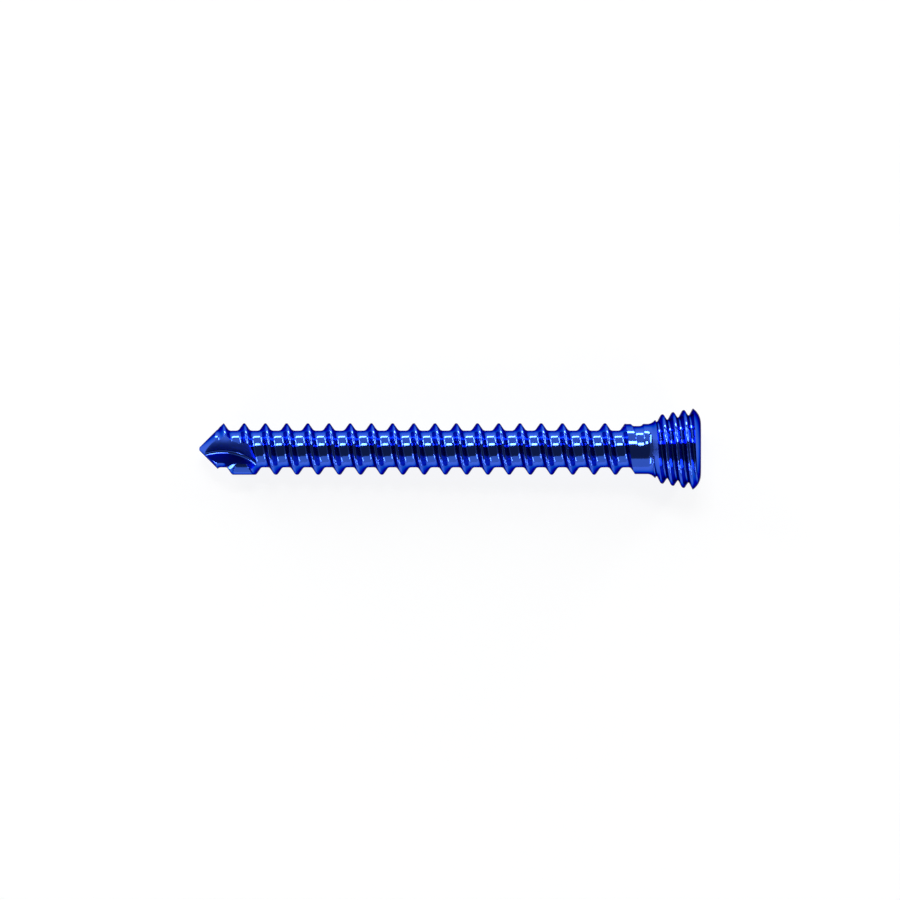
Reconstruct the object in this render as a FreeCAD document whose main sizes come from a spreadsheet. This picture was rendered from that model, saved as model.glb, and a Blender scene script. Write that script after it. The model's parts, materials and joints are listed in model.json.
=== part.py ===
import FreeCAD, Part
import math
import os
import Sketcher

# Locking bone screw, one piece turned from bar.
# In the body's own frame the screw's axis is +X, with the point at 0 and the head at the far end.
# +Z is the side that the first flute opens to, and +Y is the side above that flute.
# The finished piece is then laid on its side, with its underside on the XY plane.

NODE = "locking_screw"

# Driving dimensions, in millimetres and degrees
SIZES = {
    "screw_length": 34.0,
    "tip_angle": 90.0,
    "tip_radius": 0.15,
    "thread_diameter": 3.5,
    "core_diameter": 2.5,
    "thread_pitch": 1.4375,
    "crest_width": 0.14,
    "ridge_base_width": 0.8,
    "runout_turns": 0.9,
    "runout_clearance": 0.05,
    "neck_diameter": 3.4,
    "neck_length": 1.67,
    "neck_taper_length": 0.3,
    "flare_length": 0.7,
    "head_base_diameter": 4.68,
    "head_diameter": 5.56,
    "head_length": 2.7,
    "rim_height": 0.57,
    "end_flat_diameter": 3.4,
    "head_thread_angle": 60.0,
    "head_root_width": 0.1,
    "head_thread_lead_in": 0.32,
    "head_thread_clearance": 0.02,
    "socket_width": 2.5,
    "socket_hole_diameter": 2.4,
    "socket_depth": 2.0,
    "socket_chamfer": 0.05,
    "drill_point_angle": 118.0,
    "flute_cutter_radius": 3.1,
    "flute_place": 1.6,
    "flute_web": 0.48,
    "rake_face_turn": -40.0,
    "land_place": 3.05,
    "land_angle": 40.0,
}

# How many like cuts stand round the axis, and the degrees in a whole turn
FLUTE_COUNT = 2
HEAD_THREAD_STARTS = 2
WHOLE_TURN = 360

# How far a cutter reaches past the surface that it cuts, and how finely the resting pose is measured
CUTTER_REACH = 0.25
MEASURE_DEVIATION = 0.005

# Places along the axis, as formulas on the sheet
TIP_HALF_ANGLE = "(Sizes.tip_angle / 2)"
TIP_ARC_END = f"(Sizes.tip_radius * (1 - sin({TIP_HALF_ANGLE})))"
TIP_ARC_RADIUS = f"(Sizes.tip_radius * cos({TIP_HALF_ANGLE}))"
THREAD_RADIUS = "(Sizes.thread_diameter / 2)"
TIP_END = f"({TIP_ARC_END} + ({THREAD_RADIUS} - {TIP_ARC_RADIUS}) / tan({TIP_HALF_ANGLE}))"
RIM_START = "(Sizes.screw_length - Sizes.rim_height)"
FLARE_END = "(Sizes.screw_length - Sizes.head_length)"
FLARE_START = f"({FLARE_END} - Sizes.flare_length)"
THREAD_END = f"({FLARE_START} - Sizes.neck_length)"

# Radii, as formulas on the sheet
CORE_RADIUS = "(Sizes.core_diameter / 2)"
NECK_RADIUS = "(Sizes.neck_diameter / 2)"
HEAD_BASE_RADIUS = "(Sizes.head_base_diameter / 2)"
HEAD_RADIUS = "(Sizes.head_diameter / 2)"
END_FLAT_RADIUS = "(Sizes.end_flat_diameter / 2)"
RIM_REACH = f"({HEAD_RADIUS} - {END_FLAT_RADIUS})"
RIM_ROUND = f"(({RIM_REACH}^2 + Sizes.rim_height^2) / (2 * Sizes.rim_height))"
HEAD_SLOPE = f"(({HEAD_RADIUS} - {HEAD_BASE_RADIUS}) / (Sizes.head_length - Sizes.rim_height))"


def make_sheet(doc):
    """The sheet that holds every driving dimension under its own name."""
    sheet = doc.addObject("Spreadsheet::Sheet", "Sizes")
    for row, (name, value) in enumerate(SIZES.items(), start=1):
        sheet.set(f"A{row}", name)
        sheet.set(f"B{row}", str(value))
        sheet.setAlias(f"B{row}", name)
    doc.recompute()
    return sheet


def worth(body, formula):
    """What a formula on the sheet comes to, as a plain number."""
    value = body.Document.Sizes.evalExpression(formula)
    return float(getattr(value, "Value", value))


def origin_part(body, role):
    """One of the body's own origin planes or axes."""
    return next(part for part in body.Origin.OriginFeatures if part.Role == role)


def bulging_arc(start, end, radius):
    """The short anticlockwise arc of that radius from start to end."""
    chord = end - start
    sagitta = radius - math.sqrt(radius**2 - (chord.Length / 2) ** 2)
    outward = FreeCAD.Vector(chord.y, -chord.x, 0).normalize()
    return Part.Arc(start, (start + end) / 2 + outward * sagitta, end)


def bind(sketch, constraint, name, formula):
    """Adds a dimension to a sketch and ties it to a formula on the sheet."""
    index = sketch.addConstraint(constraint)
    sketch.renameConstraint(index, name)
    sketch.setExpression(f"Constraints.{name}", formula)


def add_sketch(body, name, plane):
    """An empty sketch on one of the body's origin planes."""
    sketch = body.newObject("Sketcher::SketchObject", name)
    sketch.AttachmentSupport = [(origin_part(body, plane), "")]
    sketch.MapMode = "FlatFace"
    return sketch


def add_outline(body, name, plane, corners, arcs=None):
    """A closed anticlockwise outline: two formulas for each corner, and a radius for each round edge."""
    arcs = arcs or {}
    sketch = add_sketch(body, name, plane)
    points = [FreeCAD.Vector(worth(body, across), worth(body, up), 0) for across, up in corners]
    for edge, start in enumerate(points):
        end = points[(edge + 1) % len(points)]
        if edge in arcs:
            radius = worth(body, arcs[edge])
            sketch.addGeometry(bulging_arc(start, end, radius), False)
            bind(sketch, Sketcher.Constraint("Radius", edge, radius), f"round_{edge}", arcs[edge])
        else:
            sketch.addGeometry(Part.LineSegment(start, end), False)
    for edge, (across, up) in enumerate(corners):
        before = (edge - 1) % len(corners)
        sketch.addConstraint(Sketcher.Constraint("Coincident", before, 2, edge, 1))
        place_corner(sketch, edge, points[edge], across, up)
    return sketch


def place_corner(sketch, edge, point, across, up):
    """Holds the start of one edge at its two formulas, or on an axis where a formula is zero."""
    if across == "0":
        sketch.addConstraint(Sketcher.Constraint("PointOnObject", edge, 1, -2))
    else:
        distance = Sketcher.Constraint("DistanceX", -1, 1, edge, 1, point.x)
        bind(sketch, distance, f"across_{edge}", across)
    if up == "0":
        sketch.addConstraint(Sketcher.Constraint("PointOnObject", edge, 1, -1))
    else:
        distance = Sketcher.Constraint("DistanceY", -1, 1, edge, 1, point.y)
        bind(sketch, distance, f"up_{edge}", up)


def turn_blank(body):
    """The turned blank: point, thread cylinder, neck, flare, tapered head and rounded end."""
    corners = [
        ("0", "0"),
        ("Sizes.screw_length", "0"),
        ("Sizes.screw_length", END_FLAT_RADIUS),
        (RIM_START, HEAD_RADIUS),
        (FLARE_END, HEAD_BASE_RADIUS),
        (FLARE_START, NECK_RADIUS),
        (THREAD_END, NECK_RADIUS),
        (f"{THREAD_END} - Sizes.neck_taper_length", THREAD_RADIUS),
        (TIP_END, THREAD_RADIUS),
        (TIP_ARC_END, TIP_ARC_RADIUS),
    ]
    arcs = {2: RIM_ROUND, 9: "Sizes.tip_radius"}
    sketch = add_outline(body, "BlankOutline", "XY_Plane", corners, arcs)
    blank = body.newObject("PartDesign::Revolution", "Blank")
    blank.Profile = sketch
    blank.ReferenceAxis = (origin_part(body, "X_Axis"), [""])
    blank.Angle = WHOLE_TURN


def groove_outline(body, name, middle):
    """The section of the bone thread's groove, under the axis: a flat root between two flanks."""
    root = "(Sizes.thread_pitch - Sizes.ridge_base_width) / 2"
    mouth = "(Sizes.thread_pitch - Sizes.crest_width) / 2"
    clear = f"-({THREAD_RADIUS} + {CUTTER_REACH})"
    corners = [
        (f"{middle} - {mouth}", clear),
        (f"{middle} + {mouth}", clear),
        (f"{middle} + {mouth}", f"-{THREAD_RADIUS}"),
        (f"{middle} + {root}", f"-{CORE_RADIUS}"),
        (f"{middle} - {root}", f"-{CORE_RADIUS}"),
        (f"{middle} - {mouth}", f"-{THREAD_RADIUS}"),
    ]
    return add_outline(body, name, "XY_Plane", corners)


def turn_sketch(sketch, angle):
    """Turns a sketch about the screw's axis by a formula in degrees."""
    sketch.setExpression("AttachmentOffset.Rotation.Axis.x", "1")
    sketch.setExpression("AttachmentOffset.Rotation.Axis.y", "0")
    sketch.setExpression("AttachmentOffset.Rotation.Axis.z", "0")
    sketch.setExpression("AttachmentOffset.Rotation.Angle", angle)


def helix_cut(body, name, sketch, turns, toward_tip):
    """A right-hand helical cut of the bone thread's pitch along the axis."""
    cut = body.newObject("PartDesign::SubtractiveHelix", name)
    cut.Profile = sketch
    cut.ReferenceAxis = (origin_part(body, "X_Axis"), [""])
    cut.Mode = "pitch-turns-angle"
    cut.Reversed = toward_tip
    cut.setExpression("Pitch", "Sizes.thread_pitch")
    cut.setExpression("Turns", turns)
    return cut


def growing_cut(body, name, sketch, turns, growth):
    """A right-hand helical cut toward the head, whose radius grows by a formula at each turn."""
    cut = helix_cut(body, name, sketch, turns, False)
    cut.Mode = "height-turns-growth"
    cut.setExpression("Height", f"{turns} * Sizes.thread_pitch")
    cut.setExpression("Growth", growth)
    return cut


def cut_bone_thread(body):
    """The bone thread's groove: whole turns from the neck, the turns beside an uncut land, and the runout."""
    whole_turns = f"round(({THREAD_END} - Sizes.land_place) / Sizes.thread_pitch)"
    half_land = f"(Sizes.land_angle / 2 / {WHOLE_TURN})"
    neck_section = groove_outline(body, "GrooveAtNeck", THREAD_END)
    turn = helix_cut(body, "ThreadTurn", neck_section, "1", True)
    row = body.newObject("PartDesign::LinearPattern", "ThreadTurns")
    row.Originals = [turn]
    row.Direction = (origin_part(body, "X_Axis"), [""])
    row.Reversed = True
    row.setExpression("Occurrences", f"{whole_turns} - 1")
    row.setExpression("Length", f"({whole_turns} - 2) * Sizes.thread_pitch")
    body.Tip = row

    last_turn = f"{THREAD_END} - ({whole_turns} - 1) * Sizes.thread_pitch"
    last_section = groove_outline(body, "GrooveBeforeLand", last_turn)
    helix_cut(body, "TurnBeforeLand", last_section, f"1 - {half_land}", True)

    past_land = f"({whole_turns} + {half_land})"
    tip_section = groove_outline(body, "GrooveAtTip", f"{THREAD_END} - {past_land} * Sizes.thread_pitch")
    turn_sketch(tip_section, "-Sizes.land_angle / 2")
    helix_cut(body, "TipTurns", tip_section, "ceil(Sizes.land_place / Sizes.thread_pitch)", True)

    climb = f"({THREAD_RADIUS} - {CORE_RADIUS} + Sizes.runout_clearance)"
    growth = f"{climb} / Sizes.runout_turns"
    growing_cut(body, "ThreadRunout", neck_section, "Sizes.runout_turns", growth)


def head_groove_outline(body, name, turn):
    """The section of the head thread's V groove at the start of one turn, on the upper side of the axis."""
    middle = f"({FLARE_START} - Sizes.head_thread_lead_in + {turn} * Sizes.thread_pitch)"
    root = f"({NECK_RADIUS} + Sizes.head_thread_clearance + {turn} * Sizes.thread_pitch * {HEAD_SLOPE})"
    height = f"({HEAD_BASE_RADIUS} - {NECK_RADIUS} + {CUTTER_REACH})"
    half_root = "Sizes.head_root_width / 2"
    half_mouth = f"({half_root} + {height} * tan(Sizes.head_thread_angle / 2))"
    corners = [
        (f"{middle} - {half_root}", root),
        (f"{middle} + {half_root}", root),
        (f"{middle} + {half_mouth}", f"{root} + {height}"),
        (f"{middle} - {half_mouth}", f"{root} + {height}"),
    ]
    return add_outline(body, name, "XY_Plane", corners)


def cut_head_thread(body):
    """The tapered head's thread: V grooves that start clear of the neck and leave through the rounded end."""
    cut_length = "(Sizes.head_thread_lead_in + Sizes.flare_length + Sizes.head_length)"
    turns = math.ceil(worth(body, f"{cut_length} / Sizes.thread_pitch"))
    for turn in range(turns):
        section = head_groove_outline(body, f"HeadGroove{turn}", turn)
        groove = growing_cut(body, f"HeadTurn{turn}", section, "1", f"{HEAD_SLOPE} * Sizes.thread_pitch")
        repeat_round_axis(body, f"HeadTurnStarts{turn}", groove, HEAD_THREAD_STARTS)


def repeat_round_axis(body, name, cut, count):
    """The same cut again, evenly spaced round the screw's axis."""
    ring = body.newObject("PartDesign::PolarPattern", name)
    ring.Originals = [cut]
    ring.Axis = (origin_part(body, "X_Axis"), [""])
    ring.Angle = WHOLE_TURN
    ring.Occurrences = count
    body.Tip = ring


def cut_flutes(body):
    """The cutting flutes: an end mill's round path, whose end face leaves the flat rake face."""
    sketch = add_sketch(body, "FluteCutter", "XY_Plane")
    turn_sketch(sketch, "Sizes.rake_face_turn")
    outward = "-(Sizes.flute_web / 2 + Sizes.flute_cutter_radius)"
    middle = FreeCAD.Vector(worth(body, "Sizes.flute_place"), worth(body, outward), 0)
    radius = worth(body, "Sizes.flute_cutter_radius")
    sketch.addGeometry(Part.Circle(middle, FreeCAD.Vector(0, 0, 1), radius), False)
    bind(sketch, Sketcher.Constraint("Radius", 0, radius), "cutter", "Sizes.flute_cutter_radius")
    bind(sketch, Sketcher.Constraint("DistanceX", -1, 1, 0, 3, middle.x), "along", "Sizes.flute_place")
    bind(sketch, Sketcher.Constraint("DistanceY", -1, 1, 0, 3, middle.y), "outward", outward)
    flute = body.newObject("PartDesign::Pocket", "Flute")
    flute.Profile = sketch
    flute.Type = "Length"
    flute.Reversed = True
    flute.setExpression("Length", "Sizes.thread_diameter")
    repeat_round_axis(body, "Flutes", flute, FLUTE_COUNT)


def cut_socket(body):
    """The driving socket: a drilled and countersunk hole, then its six flats."""
    hole = "(Sizes.socket_hole_diameter / 2)"
    flat = "(Sizes.socket_width / 2)"
    corner = "(Sizes.socket_width / sqrt(3))"
    countersink = f"({corner} + Sizes.socket_chamfer)"
    floor = "(Sizes.screw_length - Sizes.socket_depth)"
    corners = [
        (f"{floor} - {hole} / tan(Sizes.drill_point_angle / 2)", "0"),
        ("Sizes.screw_length", "0"),
        ("Sizes.screw_length", countersink),
        (f"Sizes.screw_length - ({countersink} - {hole})", hole),
        (floor, hole),
    ]
    drill = body.newObject("PartDesign::Groove", "SocketHole")
    drill.Profile = add_outline(body, "HoleOutline", "XY_Plane", corners)
    drill.ReferenceAxis = (origin_part(body, "X_Axis"), [""])
    drill.Angle = WHOLE_TURN

    flats = [
        (flat, f"-{corner} / 2"),
        (flat, f"{corner} / 2"),
        ("0", corner),
        (f"-{flat}", f"{corner} / 2"),
        (f"-{flat}", f"-{corner} / 2"),
        ("0", f"-{corner}"),
    ]
    sketch = add_outline(body, "SocketFlats", "YZ_Plane", flats)
    sketch.setExpression("AttachmentOffset.Base.z", "Sizes.screw_length")
    socket = body.newObject("PartDesign::Pocket", "Socket")
    socket.Profile = sketch
    socket.Type = "Length"
    socket.setExpression("Length", "Sizes.socket_depth")


def lower_hull(points):
    """The lower edge of the convex hull of points in a plane, from left to right."""
    hull = []
    for point in sorted(points):
        while len(hull) > 1 and turns_right(hull[-2], hull[-1], point):
            hull.pop()
        hull.append(point)
    return hull


def turns_right(first, second, third):
    """Whether the way from first over second to third turns right or goes straight on."""
    across, up = second[0] - first[0], second[1] - first[1]
    return across * (third[1] - first[1]) - up * (third[0] - first[0]) <= 0


def resting_placement(shape):
    """The place in which the screw lies on its side, on the thread crest and the head crest that carry it."""
    points, triangles = shape.tessellate(MEASURE_DEVIATION)
    hull = lower_hull([(point.x, point.z) for point in points])
    weight = shape.Solids[0].CenterOfMass.x
    left, right = next(pair for pair in zip(hull, hull[1:]) if pair[0][0] <= weight <= pair[1][0])
    tilt = math.degrees(math.atan2(right[1] - left[1], right[0] - left[0]))
    turn = FreeCAD.Rotation(FreeCAD.Vector(0, 1, 0), tilt)
    turned = [turn.multVec(point) for point in points]
    lengths = [point.x for point in turned]
    widths = [point.y for point in turned]
    base = FreeCAD.Vector(
        -(min(lengths) + max(lengths)) / 2,
        -(min(widths) + max(widths)) / 2,
        -min(point.z for point in turned),
    )
    return FreeCAD.Placement(base, turn)


def check_document(doc, body):
    """Stops where a feature failed, where a cut removed nothing, or where the screw isn't one sound solid."""
    failed = [part.Name for part in doc.Objects if {"Invalid", "Error"} & set(part.State)]
    if failed:
        raise RuntimeError(f"these features failed: {failed}")
    features = [part for part in body.Group if part.isDerivedFrom("PartDesign::Feature")]
    for before, after in zip(features, features[1:]):
        if after.Shape.Volume >= before.Shape.Volume:
            raise RuntimeError(f"{after.Name} removed nothing")
    if body.Shape.isNull() or not body.Shape.isValid() or len(body.Shape.Solids) != 1:
        raise RuntimeError(f"{body.Label} isn't one sound solid")


def main():
    """Builds the screw, lays it down, checks it and writes it out."""
    doc = FreeCAD.newDocument("LockingScrew")
    make_sheet(doc)
    body = doc.addObject("PartDesign::Body", "LockingScrew")
    body.Label = NODE
    turn_blank(body)
    cut_bone_thread(body)
    cut_head_thread(body)
    cut_flutes(body)
    cut_socket(body)
    doc.recompute()
    check_document(doc, body)
    body.Placement = resting_placement(body.Shape)
    doc.recompute()
    box = body.Shape.optimalBoundingBox()
    print(f"{body.Shape.Volume:.2f} mm3, {box.XLength:.2f} x {box.YLength:.2f} x {box.ZLength:.2f} mm")
    os.makedirs("parts", exist_ok=True)
    body.Shape.exportStep(f"parts/{body.Label}.step")


main()
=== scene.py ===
import json
import math

import bpy
from bpy.props import FloatProperty, FloatVectorProperty, IntProperty, PointerProperty
from mathutils import Matrix, Vector


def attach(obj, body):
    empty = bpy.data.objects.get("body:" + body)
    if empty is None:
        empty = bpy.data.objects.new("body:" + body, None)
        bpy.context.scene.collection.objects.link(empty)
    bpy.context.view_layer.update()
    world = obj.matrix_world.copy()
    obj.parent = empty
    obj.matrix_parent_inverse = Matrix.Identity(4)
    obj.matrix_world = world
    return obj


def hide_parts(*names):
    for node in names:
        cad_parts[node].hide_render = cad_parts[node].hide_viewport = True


bl_info = {
    "name": "Locking Bone Screw",
    "version": (1, 0, 0),
    "blender": (4, 5, 0),
    "location": "3D View > Sidebar > Bone Screw",
    "description": "Models an anodised titanium locking screw in the place of its CAD solid",
    "category": "Object",
}

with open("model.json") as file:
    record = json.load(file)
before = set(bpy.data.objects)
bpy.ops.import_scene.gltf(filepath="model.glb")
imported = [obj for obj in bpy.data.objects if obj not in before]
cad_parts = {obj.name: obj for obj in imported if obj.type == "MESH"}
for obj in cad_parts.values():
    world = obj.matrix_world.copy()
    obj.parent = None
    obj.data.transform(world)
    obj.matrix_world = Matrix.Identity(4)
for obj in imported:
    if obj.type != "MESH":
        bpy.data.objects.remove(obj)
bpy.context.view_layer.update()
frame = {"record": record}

# The screw is modelled along +X with its point at 0, in millimetres, then shrunk to metres and laid down
MILLIMETRE = 0.001
NODE = "locking_screw"
PIECE = "anodised_screw"

# Angles about the screw's axis count from +Y, where the outlines are drawn, so its lower side is half a turn on
LOWER_SIDE = math.pi


class ScrewSizes(bpy.types.PropertyGroup):
    """Sizes of the screw"""

    length: FloatProperty(
        name="Length", description="From the point to the end of the head", default=0.034, unit="LENGTH")
    pitch: FloatProperty(
        name="Pitch", description="Advance of both threads in a turn", default=0.0014375, unit="LENGTH")
    thread_diameter: FloatProperty(
        name="Thread diameter", description="Over the bone thread's crests",
        default=0.0035, unit="LENGTH")
    core_diameter: FloatProperty(
        name="Core diameter", description="At the bone thread's root", default=0.0025, unit="LENGTH")
    ridge_base: FloatProperty(
        name="Ridge base", description="Width of the bone thread's ridge at its root",
        default=0.0008, unit="LENGTH")
    crest_width: FloatProperty(
        name="Crest width", description="Width of the bone thread's crest", default=0.00012, unit="LENGTH")
    root_fillet: FloatProperty(
        name="Root fillet", description="Radius between root and flank", default=0.00028, unit="LENGTH")
    crest_round: FloatProperty(
        name="Crest rounding", description="Radius on the crest's two edges",
        default=0.0001, unit="LENGTH")
    neck_diameter: FloatProperty(
        name="Neck diameter", description="Plain neck under the head", default=0.0034, unit="LENGTH")
    neck_start: FloatProperty(
        name="Neck start", description="Where the bone thread starts to run out",
        default=0.02893, unit="LENGTH")
    runout_growth: FloatProperty(
        name="Runout", description="How far the groove climbs in a turn of its runout",
        default=0.00061, unit="LENGTH")
    flare_start: FloatProperty(
        name="Flare start", description="Where the neck widens to the head",
        default=0.0306, unit="LENGTH")
    head_start: FloatProperty(
        name="Head start", description="Where the head's cone starts", default=0.0313, unit="LENGTH")
    rim_start: FloatProperty(
        name="Rim start", description="Where the rounded rim starts",
        default=0.03343, unit="LENGTH")
    head_base_diameter: FloatProperty(
        name="Head base", description="Head diameter at the flare's end",
        default=0.00468, unit="LENGTH")
    head_diameter: FloatProperty(
        name="Head diameter", description="Head diameter at the rim", default=0.00553, unit="LENGTH")
    end_flat_diameter: FloatProperty(
        name="End flat", description="Flat ring on the head's end", default=0.0034, unit="LENGTH")
    socket_width: FloatProperty(
        name="Socket width", description="Across the driving socket's flats",
        default=0.0025, unit="LENGTH")
    socket_depth: FloatProperty(
        name="Socket depth", description="Depth of the driving socket", default=0.002, unit="LENGTH")
    flute_radius: FloatProperty(
        name="Flute cutter", description="Radius of the end mill that cuts the flutes",
        default=0.0031, unit="LENGTH")
    flute_turn: FloatProperty(
        name="Flute turn", description="Turn of the rake faces about the axis",
        default=math.radians(-40), subtype="ANGLE")
    steps: IntProperty(
        name="Steps", description="Mesh steps in one turn of a thread", default=96, min=24, max=128)


class ScrewColours(bpy.types.PropertyGroup):
    """Colours and finish of the screw"""

    oxide: FloatVectorProperty(
        name="Oxide blue", description="Main colour of the anodised skin", subtype="COLOR",
        size=4, min=0, max=1, default=(0.058, 0.142, 0.74, 1.0))
    oxide_deep: FloatVectorProperty(
        name="Deep blue", description="Colour where the oxide skin is thinner", subtype="COLOR",
        size=4, min=0, max=1, default=(0.042, 0.105, 0.66, 1.0))
    roughness: FloatProperty(
        name="Roughness", description="Mean roughness of the turned surface",
        default=0.1, min=0, max=1)
    milled_roughness: FloatProperty(
        name="Milled roughness", description="Roughness of the flutes' milled walls",
        default=0.28, min=0, max=1)


def chosen_sizes():
    """The sizes on the panel, in millimetres where they are lengths."""
    group = bpy.context.scene.screw_sizes
    sizes = {}
    for name, settings in group.bl_rna.properties.items():
        if name in ("rna_type", "name"):
            continue
        value = getattr(group, name)
        sizes[name] = value / MILLIMETRE if settings.unit == "LENGTH" else value
    return sizes


def only(*objects):
    """Leaves these objects alone selected, with the first one active."""
    bpy.ops.object.select_all(action="DESELECT")
    for item in objects:
        item.select_set(True)
    bpy.context.view_layer.objects.active = objects[0]


def new_outline(name, points):
    """A chain of edges through (along, radius) points, on the screw's upper side."""
    mesh = bpy.data.meshes.new(name)
    edges = [(i, i + 1) for i in range(len(points) - 1)]
    mesh.from_pydata([(along, radius, 0.0) for along, radius in points], edges, [])
    outline = bpy.data.objects.new(name, mesh)
    bpy.context.collection.objects.link(outline)
    return outline


MERGE_SWEPT = 1e-4
MERGE_FINISHED = 1e-5


def tidy_shell(piece, merge=MERGE_SWEPT):
    """Merges a shell's doubles and turns its faces outward."""
    only(piece)
    bpy.ops.object.mode_set(mode="EDIT")
    bpy.ops.mesh.select_all(action="SELECT")
    bpy.ops.mesh.remove_doubles(threshold=merge)
    bpy.ops.mesh.normals_make_consistent(inside=False)
    bpy.ops.object.mode_set(mode="OBJECT")


def sweep(outline, steps, pitch=0.0, turns=1):
    """Turns an outline round the screw's axis, as a lathe does, or along a helix where it has a pitch."""
    only(outline)
    screw = outline.modifiers.new("Sweep", "SCREW")
    screw.axis = "X"
    screw.angle = math.tau
    screw.screw_offset = pitch
    screw.iterations = turns
    screw.steps = steps
    screw.render_steps = steps
    screw.use_merge_vertices = pitch == 0
    screw.use_smooth_shade = True
    bpy.ops.object.modifier_apply(modifier=screw.name)


ON_PLANE = 1e-5


def close_ends(piece, low, high):
    """Cuts a swept thread square at both ends and caps it."""
    only(piece)
    bpy.ops.object.mode_set(mode="EDIT")
    for along, side in ((low, -1), (high, 1)):
        bpy.ops.mesh.select_all(action="SELECT")
        bpy.ops.mesh.bisect(
            plane_co=(along, 0, 0), plane_no=(side, 0, 0),
            use_fill=True, clear_outer=True, threshold=ON_PLANE)
    bpy.ops.object.mode_set(mode="OBJECT")
    tidy_shell(piece)


def combine(piece, tool, operation):
    """Cuts or crops a piece by a closed tool, which is used up."""
    only(piece)
    step = piece.modifiers.new("Cut", "BOOLEAN")
    step.operation = operation
    step.solver = "MANIFOLD"
    step.object = tool
    bpy.ops.object.modifier_apply(modifier=step.name)
    bpy.data.objects.remove(tool)


def arc(centre, radius, start, end, count):
    """Points on an arc, from one angle to another."""
    angles = [start + (end - start) * i / count for i in range(count + 1)]
    return [(centre[0] + radius * math.cos(a), centre[1] + radius * math.sin(a)) for a in angles]


CORNER_STEPS = 4


def rounded(points, roundings, count=CORNER_STEPS):
    """An outline with arcs for some corners: roundings holds a corner's radius by its number."""
    outline = []
    for number, point in enumerate(points):
        if number not in roundings:
            outline.append(point)
            continue
        corner = Vector(point)
        back = (Vector(points[number - 1]) - corner).normalized()
        ahead = (Vector(points[number + 1]) - corner).normalized()
        half = back.angle(ahead) / 2
        reach = roundings[number] / math.tan(half)
        centre = corner + (back + ahead).normalized() * (roundings[number] / math.sin(half))
        first = corner + back * reach - centre
        last = corner + ahead * reach - centre
        swing = first.angle_signed(last)
        for i in range(count + 1):
            turned = first.copy()
            turned.rotate(Matrix.Rotation(-swing * i / count, 2))
            outline.append(tuple(centre + turned))
    return outline


def split(outline, longest):
    """The same outline with its long straight stretches split."""
    points = [outline[0]]
    for start, end in zip(outline, outline[1:]):
        pieces = max(1, math.ceil((Vector(end) - Vector(start)).length / longest))
        for i in range(1, pieces + 1):
            points.append(tuple(Vector(start).lerp(Vector(end), i / pieces)))
    return points


def head_slope(s):
    """Rise of the head's cone for each unit along the axis."""
    return (s["head_diameter"] - s["head_base_diameter"]) / 2 / (s["rim_start"] - s["head_start"])


# How far the blank stands proud of the threads that shape it
ALLOWANCE = 0.03
TIP_INSET = 0.006
TIP_FLAT_RADIUS = 0.1
TIP_ROUND = 0.12
TIP_HALF_ANGLE = math.radians(45)
NECK_TAPER = 0.3
NECK_FILLET = 0.5
FLARE_FILLET = 0.6
HEAD_START_ROUND = 0.05
BLANK_CORNER_STEPS = 6
RIM_STEPS = 14
LONGEST_BLANK_EDGE = 0.6


def make_blank(s):
    """The turned blank: point, bar, neck, flare, cone and rounded rim."""
    bar = s["thread_diameter"] / 2 + ALLOWANCE
    neck = s["neck_diameter"] / 2
    head = s["head_diameter"] / 2
    end_flat = s["end_flat_diameter"] / 2
    rim = s["length"] - s["rim_start"]
    rim_round = ((head - end_flat) ** 2 + rim ** 2) / (2 * rim)
    taper_slope = (s["thread_diameter"] / 2 - neck) / NECK_TAPER
    points = [
        (TIP_INSET, 0.0),
        (TIP_INSET, TIP_FLAT_RADIUS),
        (TIP_INSET + (bar - TIP_FLAT_RADIUS) / math.tan(TIP_HALF_ANGLE), bar),
        (s["neck_start"] - (bar - neck) / taper_slope, bar),
        (s["neck_start"], neck),
        (s["flare_start"], neck),
        (s["head_start"], s["head_base_diameter"] / 2 + ALLOWANCE),
        (s["rim_start"] - 2 * ALLOWANCE, head + ALLOWANCE / 2),
    ]
    roundings = {1: TIP_ROUND, 4: NECK_FILLET, 5: FLARE_FILLET, 6: HEAD_START_ROUND}
    outline = rounded(points, roundings, BLANK_CORNER_STEPS)
    centre = (s["length"] - rim_round, end_flat)
    outline += arc(centre, rim_round, math.asin((head - end_flat) / rim_round), 0.0, RIM_STEPS)
    outline.append((s["length"], 0.0))
    blank = new_outline("blank", split(outline, LONGEST_BLANK_EDGE))
    sweep(blank, 2 * s["steps"])
    tidy_shell(blank)
    return blank


BONE_TURNS_AHEAD = 22
BONE_TURNS_PAST = 6
LONGEST_BONE_EDGE = 0.17
SPARE_END = 1.0


def make_bone_thread(s):
    """The threaded bar: one section of a ridge between two groove middles, swept along the axis."""
    half_pitch = s["pitch"] / 2
    core = s["core_diameter"] / 2
    crest = s["thread_diameter"] / 2
    section = rounded(
        [
            (-half_pitch, core),
            (-s["ridge_base"] / 2, core),
            (-s["crest_width"] / 2, crest),
            (s["crest_width"] / 2, crest),
            (s["ridge_base"] / 2, core),
            (half_pitch, core),
        ],
        {1: s["root_fillet"], 2: s["crest_round"], 3: s["crest_round"], 4: s["root_fillet"]},
    )
    section = split(section, LONGEST_BONE_EDGE)
    first_ridge = s["neck_start"] - BONE_TURNS_AHEAD * s["pitch"]
    bar = new_outline("threaded_bar", [(first_ridge + along, radius) for along, radius in section])
    sweep(bar, s["steps"], s["pitch"], BONE_TURNS_AHEAD + BONE_TURNS_PAST)
    tidy_shell(bar)
    shape_thread_ends(bar, s)
    close_ends(bar, -SPARE_END, s["length"] + SPARE_END)
    return bar


LAND_PLACE = 3.05
LAND_HALF_ANGLE = math.radians(10)
LAND_FADE = math.radians(40)
# Past this much before the flare, each thread's bar is wider than the whole screw and cuts nothing
CLEAR_AHEAD = 0.2
CLEAR_RADIUS = 3.5


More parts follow.
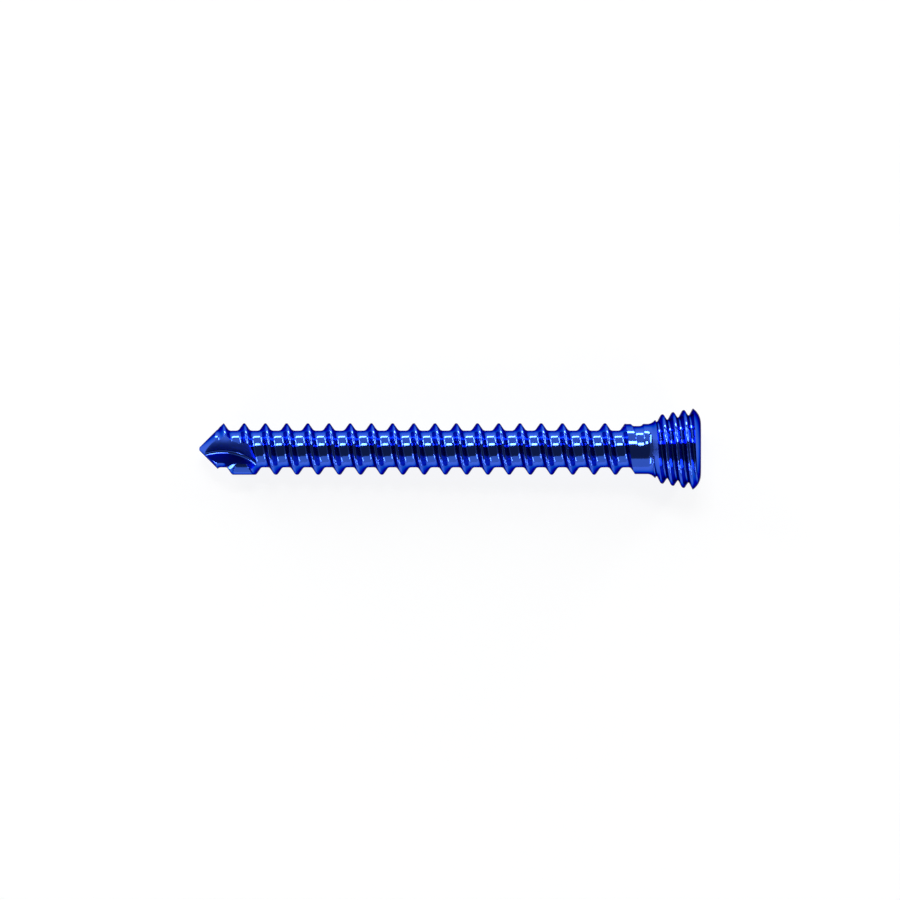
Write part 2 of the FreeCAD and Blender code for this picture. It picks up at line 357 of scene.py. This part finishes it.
def shape_thread_ends(bar, s):
    """Fills the groove at the land near the point, lets it climb out at the neck, and clears the head."""
    core = s["core_diameter"] / 2
    crest = s["thread_diameter"] / 2
    clear_from = s["flare_start"] - CLEAR_AHEAD
    for vertex in bar.data.vertices:
        along, up, out = vertex.co
        radius = math.hypot(up, out)
        angle = (math.atan2(out, up) - LOWER_SIDE) % math.tau
        travelled = round((along - s["neck_start"]) / s["pitch"] - angle / math.tau) + angle / math.tau
        middle = s["neck_start"] + travelled * s["pitch"]
        from_below = min(angle, math.tau - angle)
        wanted = radius
        if along > clear_from:
            wanted = CLEAR_RADIUS
        elif travelled > 0:
            wanted = max(radius, min(radius + s["runout_growth"] * travelled, crest))
        elif from_below < LAND_HALF_ANGLE + LAND_FADE and abs(middle - LAND_PLACE) < s["pitch"] / 4:
            fade = max(0.0, (from_below - LAND_HALF_ANGLE) / LAND_FADE)
            climb = 1 - fade * fade * (3 - 2 * fade)
            wanted = max(radius, core + (crest - core) * climb)
        vertex.co = (along, up * wanted / radius, out * wanted / radius)


HEAD_GROOVE_LEAD = 0.32
HEAD_ROOT_CLEARANCE = 0.02
HEAD_ROOT_WIDTH = 0.1
HEAD_ROOT_ROUND = 0.05
HEAD_CREST_ROUND = 0.11
HEAD_GROOVE_HALF_ANGLE = math.radians(30)
HEAD_STARTS = 2
HEAD_TURNS_AHEAD = 2
HEAD_TURNS_PAST = 4
LONGEST_HEAD_EDGE = 0.12
SPARE_HEAD_END = 1.5
BEFORE_POINT = -2.0


def make_head_thread(s):
    """The head's tapered two-start thread: its grooves swept along the axis and widened to the cone."""
    slope = head_slope(s)
    first_groove = s["flare_start"] - HEAD_GROOVE_LEAD
    root = s["neck_diameter"] / 2 + HEAD_ROOT_CLEARANCE
    crest = s["head_base_diameter"] / 2 - slope * (s["head_start"] - first_groove)
    spacing = s["pitch"] / HEAD_STARTS
    half_mouth = HEAD_ROOT_WIDTH / 2 + (crest - root) * math.tan(HEAD_GROOVE_HALF_ANGLE)
    roundings = {1: HEAD_ROOT_ROUND, 2: HEAD_CREST_ROUND, 3: HEAD_CREST_ROUND, 4: HEAD_ROOT_ROUND}
    section = []
    for start in range(HEAD_STARTS):
        middle = start * spacing
        corners = [
            (middle, root),
            (middle + HEAD_ROOT_WIDTH / 2, root),
            (middle + half_mouth, crest),
            (middle + spacing - half_mouth, crest),
            (middle + spacing - HEAD_ROOT_WIDTH / 2, root),
            (middle + spacing, root),
        ]
        ridge = rounded(corners, roundings)
        section += ridge if start == 0 else ridge[1:]
    section = split(section, LONGEST_HEAD_EDGE)
    start_place = first_groove - HEAD_TURNS_AHEAD * s["pitch"]
    bar = new_outline("head_thread", [(start_place + along, radius) for along, radius in section])
    sweep(bar, s["steps"], s["pitch"], HEAD_TURNS_AHEAD + HEAD_TURNS_PAST)
    tidy_shell(bar)
    clear_to = s["flare_start"] - CLEAR_AHEAD
    for vertex in bar.data.vertices:
        along, up, out = vertex.co
        radius = math.hypot(up, out)
        wanted = CLEAR_RADIUS if along < clear_to else radius + slope * (along - first_groove)
        vertex.co = (along, up * wanted / radius, out * wanted / radius)
    close_ends(bar, s["neck_start"], s["length"] + SPARE_HEAD_END)
    for vertex in bar.data.vertices:
        if vertex.co.x < s["neck_start"] + MERGE_SWEPT:
            vertex.co.x = BEFORE_POINT
    return bar


FLUTE_PLACE = 1.6
FLUTE_WEB = 0.48
FLUTE_CORNER = 0.2
FLUTE_CORNER_STEPS = 8
FLUTE_COUNT = 2
MILL_SIDES = 288


def cut_flutes(screw, s):
    """The two cutting flutes: an end mill stands square on each rake face."""
    height = 2 * s["thread_diameter"]
    for flute in range(FLUTE_COUNT):
        bpy.ops.object.select_all(action="DESELECT")
        bpy.ops.mesh.primitive_cylinder_add(
            vertices=MILL_SIDES, radius=s["flute_radius"], depth=height,
            location=(FLUTE_PLACE, -(FLUTE_WEB / 2 + s["flute_radius"]), height / 2))
        mill = bpy.context.object
        bpy.ops.object.transform_apply(location=True, rotation=True, scale=True)
        bpy.ops.object.mode_set(mode="EDIT")
        bpy.ops.mesh.select_all(action="DESELECT")
        bpy.ops.object.mode_set(mode="OBJECT")
        for edge in mill.data.edges:
            edge.select = all(abs(mill.data.vertices[v].co.z) < ON_PLANE for v in edge.vertices)
        bpy.ops.object.mode_set(mode="EDIT")
        bpy.ops.mesh.bevel(offset=FLUTE_CORNER, segments=FLUTE_CORNER_STEPS, affect="EDGES")
        bpy.ops.object.mode_set(mode="OBJECT")
        mill.data.transform(Matrix.Rotation(s["flute_turn"] + math.tau * flute / FLUTE_COUNT, 4, "X"))
        combine(screw, mill, "DIFFERENCE")


MILLED = "milled"
MILLED_MARGIN = 0.01


def mark_flutes(screw, s):
    """Marks the walls that the end mill's side left, for the material: the rake faces stay bright."""
    marks = screw.data.attributes.new(MILLED, "FLOAT", "FACE")
    middle = Vector((FLUTE_PLACE, -(FLUTE_WEB / 2 + s["flute_radius"])))
    for flute in range(FLUTE_COUNT):
        back = Matrix.Rotation(-s["flute_turn"] - math.tau * flute / FLUTE_COUNT, 3, "X")
        for face in screw.data.polygons:
            along, up, out = back @ face.center
            reach = (Vector((along, up)) - middle).length
            if out > FLUTE_CORNER - MILLED_MARGIN and reach < s["flute_radius"] + MILLED_MARGIN:
                marks.data[face.index].value = 1.0


SOCKET_HOLE = 1.2
SOCKET_CHAMFER = 0.05
SOCKET_FLATS = 6
DRILL_HALF_ANGLE = math.radians(59)


def cut_socket(screw, s):
    """The driving socket: a drilled and countersunk hole with six flats."""
    corner = s["socket_width"] / 2 / math.cos(math.pi / SOCKET_FLATS)
    floor = s["length"] - s["socket_depth"]
    mouth = corner + SOCKET_CHAMFER
    outline = [
        (floor - SOCKET_HOLE / math.tan(DRILL_HALF_ANGLE), 0.0),
        (floor, SOCKET_HOLE),
        (s["length"] - (mouth - SOCKET_HOLE), SOCKET_HOLE),
        (s["length"] + SOCKET_CHAMFER, mouth + SOCKET_CHAMFER),
        (s["length"] + SOCKET_CHAMFER, 0.0),
    ]
    drill = new_outline("drill", outline)
    sweep(drill, s["steps"])
    tidy_shell(drill)
    combine(screw, drill, "DIFFERENCE")
    bpy.ops.object.select_all(action="DESELECT")
    bpy.ops.mesh.primitive_cylinder_add(
        vertices=SOCKET_FLATS, radius=corner, depth=2 * s["socket_depth"],
        location=(s["length"], 0, 0), rotation=(0, math.pi / 2, 0))
    key = bpy.context.object
    bpy.ops.object.transform_apply(location=True, rotation=True, scale=True)
    combine(screw, key, "DIFFERENCE")


# Keeps the head's end just inside the CAD solid's box
END_CLEARANCE = 0.001


def resting_place(s):
    """Where the CAD solid lies: the screw's axis and the middle of its end, from the frame's own mount."""
    mounts = {mount["name"]: mount for mount in frame["record"]["mounts"]}
    axis = Vector(mounts["drive_socket"]["axis"]).normalized()
    end = Vector(mounts["drive_socket"]["pos_m"])
    side = Vector((0.0, 1.0, 0.0))
    turn = Matrix((axis, side, axis.cross(side))).transposed().to_4x4()
    point = end - axis * (s["length"] + END_CLEARANCE) * MILLIMETRE
    return Matrix.Translation(point) @ turn


SMOOTH_ANGLE = math.radians(21)


class SCREW_OT_add_screw(bpy.types.Operator):
    """Model the screw, lay it where the CAD solid lies and give it its finish"""

    bl_idname = "screw.add_screw"
    bl_label = "Add Screw"

    def execute(self, context):
        s = chosen_sizes()
        screw = make_blank(s)
        combine(screw, make_bone_thread(s), "INTERSECT")
        combine(screw, make_head_thread(s), "INTERSECT")
        cut_flutes(screw, s)
        cut_socket(screw, s)
        tidy_shell(screw, MERGE_FINISHED)
        mark_flutes(screw, s)
        only(screw)
        bpy.ops.object.shade_smooth_by_angle(angle=SMOOTH_ANGLE)
        screw.data.transform(resting_place(s) @ Matrix.Scale(MILLIMETRE, 4))
        screw.name = PIECE
        screw.data.materials.clear()
        screw.data.materials.append(anodised_titanium())
        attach(screw, "root")
        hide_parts(NODE)
        return {"FINISHED"}


def link(tree, source, out, target, into):
    """Joins two nodes of a material."""
    tree.links.new(source.outputs[out], target.inputs[into])


# What the metal's colour turns to at a grazing angle, where the oxide looks nearly black
GRAZING = (0.05, 0.03, 0.15, 1.0)
PATCH_SCALE = 900
MARK_SCALE = 9000
MARK_STRENGTH = 0.15
MARK_DEPTH = 0.000004
ROUGHNESS_SPREAD = 0.04


def anodised_titanium():
    """Turned titanium under a deep blue oxide skin."""
    colours = bpy.context.scene.screw_colours
    material = bpy.data.materials.new("Anodised Titanium")
    material.use_nodes = True
    tree = material.node_tree
    shader = tree.nodes["Principled BSDF"]
    shader.inputs["Metallic"].default_value = 1.0
    shader.inputs["Specular Tint"].default_value = GRAZING
    place = tree.nodes.new("ShaderNodeTexCoord")
    patches = tree.nodes.new("ShaderNodeTexNoise")
    patches.inputs["Scale"].default_value = PATCH_SCALE
    patches.inputs["Detail"].default_value = 3
    link(tree, place, "Object", patches, "Vector")
    skin = tree.nodes.new("ShaderNodeMix")
    skin.data_type = "RGBA"
    skin.inputs[6].default_value = colours.oxide
    skin.inputs[7].default_value = colours.oxide_deep
    link(tree, patches, "Fac", skin, 0)
    link(tree, skin, 2, shader, "Base Color")
    marks = tree.nodes.new("ShaderNodeTexWave")
    marks.bands_direction = "X"
    marks.inputs["Scale"].default_value = MARK_SCALE
    marks.inputs["Distortion"].default_value = 2
    marks.inputs["Detail"].default_value = 2
    link(tree, place, "Object", marks, "Vector")
    rough = tree.nodes.new("ShaderNodeMapRange")
    rough.inputs["To Min"].default_value = colours.roughness - ROUGHNESS_SPREAD
    rough.inputs["To Max"].default_value = colours.roughness + ROUGHNESS_SPREAD
    link(tree, patches, "Fac", rough, "Value")
    milled = tree.nodes.new("ShaderNodeAttribute")
    milled.attribute_name = MILLED
    finish = tree.nodes.new("ShaderNodeMix")
    finish.inputs[3].default_value = colours.milled_roughness
    link(tree, milled, "Fac", finish, 0)
    link(tree, rough, "Result", finish, 2)
    link(tree, finish, 0, shader, "Roughness")
    bump = tree.nodes.new("ShaderNodeBump")
    bump.inputs["Strength"].default_value = MARK_STRENGTH
    bump.inputs["Distance"].default_value = MARK_DEPTH
    link(tree, marks, "Fac", bump, "Height")
    link(tree, bump, "Normal", shader, "Normal")
    return material


CAMERA_HEIGHT = 0.5
PICTURE_WIDTH = 0.0612
PICTURE_CENTRE = (-0.00002, -0.000068)
SENSOR_MM = 36.0


def add_camera():
    """A long lens that looks straight down, with the screw's point on the left."""
    data = bpy.data.cameras.new("Camera")
    data.sensor_width = SENSOR_MM
    data.lens = SENSOR_MM * CAMERA_HEIGHT / PICTURE_WIDTH
    camera = bpy.data.objects.new("Camera", data)
    camera.location = (*PICTURE_CENTRE, CAMERA_HEIGHT)
    bpy.context.collection.objects.link(camera)
    bpy.context.scene.camera = camera


LAMP_DISTANCE = 0.3


def add_softbox(name, towards, long_side, length, width, brightness, colour):
    """A soft light that faces the screw from the given direction, with its long side along another."""
    facing = Vector(towards).normalized()
    across = facing.cross(Vector(long_side)).normalized()
    data = bpy.data.lights.new(name, "AREA")
    data.shape = "RECTANGLE"
    data.size = length
    data.size_y = width
    data.energy = brightness * width * length * math.pi
    data.color = colour
    lamp = bpy.data.objects.new(name, data)
    lamp.rotation_euler = Matrix((across.cross(facing), across, facing)).transposed().to_euler()
    lamp.location = facing * LAMP_DISTANCE
    bpy.context.collection.objects.link(lamp)


ALONG = (1.0, 0.0, 0.0)
FALL_RIGHT = (0.20, 0.63, -0.75)
FALL_LEFT = (-0.20, 0.63, -0.75)
RISE_RIGHT = (0.17, 0.74, 0.65)
RISE_LEFT = (-0.17, 0.74, 0.65)
WHITE = (1.0, 1.0, 1.0)
PALE = (0.8, 1.0, 1.0)
COOL = (0.7, 0.9, 1.0)
# Name, direction from the screw, direction of the long side, length, width, brightness and colour.
# The bright ones are small, so that together a grey card beside the screw renders about as it is written.
SOFTBOXES = (
    ("upper_strip", (0.0, 0.49, 0.87), ALONG, 0.11, 0.055, 17.0, WHITE),
    ("far_strip", (0.0, 0.99, 0.12), ALONG, 0.24, 0.045, 17.0, WHITE),
    ("upper_box", (0.0, 0.84, 0.54), ALONG, 0.4, 0.2, 0.5, COOL),
    ("lower_box", (0.0, -0.92, 0.39), ALONG, 0.5, 0.24, 0.5, PALE),
    ("right_box", (0.69, 0.61, 0.36), FALL_LEFT, 0.17, 0.05, 15.0, WHITE),
    ("left_box", (-0.69, 0.61, 0.36), FALL_RIGHT, 0.17, 0.05, 15.0, WHITE),
    ("right_low_box", (0.65, -0.69, 0.31), RISE_RIGHT, 0.13, 0.045, 11.0, WHITE),
    ("left_low_box", (-0.65, -0.69, 0.31), RISE_LEFT, 0.13, 0.045, 11.0, WHITE),
)


FLOOR_SIZE = 6.0
FLOOR_GREY = (0.16, 0.16, 0.16, 1.0)
FLOOR_ROUGHNESS = 0.8
FLOOR_GLOW = 0.85


def white_floor():
    """A plain white floor that keeps the object's shadow."""
    material = bpy.data.materials.new("White Floor")
    material.use_nodes = True
    tree = material.node_tree
    shader = tree.nodes["Principled BSDF"]
    shader.inputs["Base Color"].default_value = FLOOR_GREY
    shader.inputs["Roughness"].default_value = FLOOR_ROUGHNESS
    shader.inputs["Specular IOR Level"].default_value = 0.0
    output = tree.nodes["Material Output"]
    glow = tree.nodes.new("ShaderNodeEmission")
    glow.inputs["Strength"].default_value = FLOOR_GLOW
    rays = tree.nodes.new("ShaderNodeLightPath")
    seen = tree.nodes.new("ShaderNodeMath")
    seen.operation = "MAXIMUM"
    link(tree, rays, "Is Camera Ray", seen, 0)
    link(tree, rays, "Is Glossy Ray", seen, 1)
    also = tree.nodes.new("ShaderNodeMath")
    also.operation = "MAXIMUM"
    link(tree, seen, "Value", also, 0)
    link(tree, rays, "Is Transmission Ray", also, 1)
    none = tree.nodes.new("ShaderNodeEmission")
    none.inputs["Strength"].default_value = 0.0
    pick = tree.nodes.new("ShaderNodeMixShader")
    link(tree, also, "Value", pick, 0)
    link(tree, none, 0, pick, 1)
    link(tree, glow, 0, pick, 2)
    total = tree.nodes.new("ShaderNodeAddShader")
    link(tree, shader, 0, total, 0)
    link(tree, pick, 0, total, 1)
    link(tree, total, 0, output, "Surface")
    return material


CEILING = 0.08
WALLS = 0.2
WALL_TOP = 0.64
CEILING_EDGE = 0.76


def grey_room():
    """A room with grey walls and a dark ceiling."""
    world = bpy.data.worlds.new("Grey Room")
    world.use_nodes = True
    tree = world.node_tree
    background = tree.nodes["Background"]
    place = tree.nodes.new("ShaderNodeTexCoord")
    axes = tree.nodes.new("ShaderNodeSeparateXYZ")
    link(tree, place, "Generated", axes, "Vector")
    height = tree.nodes.new("ShaderNodeMapRange")
    height.interpolation_type = "SMOOTHSTEP"
    height.inputs["From Min"].default_value = WALL_TOP
    height.inputs["From Max"].default_value = CEILING_EDGE
    height.inputs["To Min"].default_value = WALLS
    height.inputs["To Max"].default_value = CEILING
    link(tree, axes, "Z", height, "Value")
    link(tree, height, "Result", background, "Strength")
    background.inputs["Color"].default_value = (1.0, 1.0, 1.0, 1.0)
    return world


class SCREW_OT_add_stage(bpy.types.Operator):
    """Add the white floor, the soft lights and the camera"""

    bl_idname = "screw.add_stage"
    bl_label = "Add Stage"

    def execute(self, context):
        bpy.ops.object.select_all(action="DESELECT")
        bpy.ops.mesh.primitive_plane_add(size=FLOOR_SIZE)
        floor = context.object
        floor.name = "floor"
        floor.data.materials.append(white_floor())
        for softbox in SOFTBOXES:
            add_softbox(*softbox)
        context.scene.world = grey_room()
        context.scene.view_settings.view_transform = "Standard"
        add_camera()
        return {"FINISHED"}


class SCREW_PT_panel(bpy.types.Panel):
    """Sizes, colours and steps of the screw"""

    bl_idname = "SCREW_PT_panel"
    bl_label = "Locking Bone Screw"
    bl_space_type = "VIEW_3D"
    bl_region_type = "UI"
    bl_category = "Bone Screw"

    def draw(self, context):
        layout = self.layout
        for group in (context.scene.screw_sizes, context.scene.screw_colours):
            column = layout.column(align=True)
            for name in group.bl_rna.properties.keys():
                if name not in ("rna_type", "name"):
                    column.prop(group, name)
        layout.operator(SCREW_OT_add_screw.bl_idname)
        layout.operator(SCREW_OT_add_stage.bl_idname)


CLASSES = (ScrewSizes, ScrewColours, SCREW_OT_add_screw, SCREW_OT_add_stage, SCREW_PT_panel)


def register():
    for item in CLASSES:
        bpy.utils.register_class(item)
    bpy.types.Scene.screw_sizes = PointerProperty(type=ScrewSizes)
    bpy.types.Scene.screw_colours = PointerProperty(type=ScrewColours)


def unregister():
    del bpy.types.Scene.screw_colours
    del bpy.types.Scene.screw_sizes
    for item in reversed(CLASSES):
        bpy.utils.unregister_class(item)


def main():
    register()
    bpy.ops.screw.add_screw()
    bpy.ops.screw.add_stage()


if __name__ == "__main__":
    main()
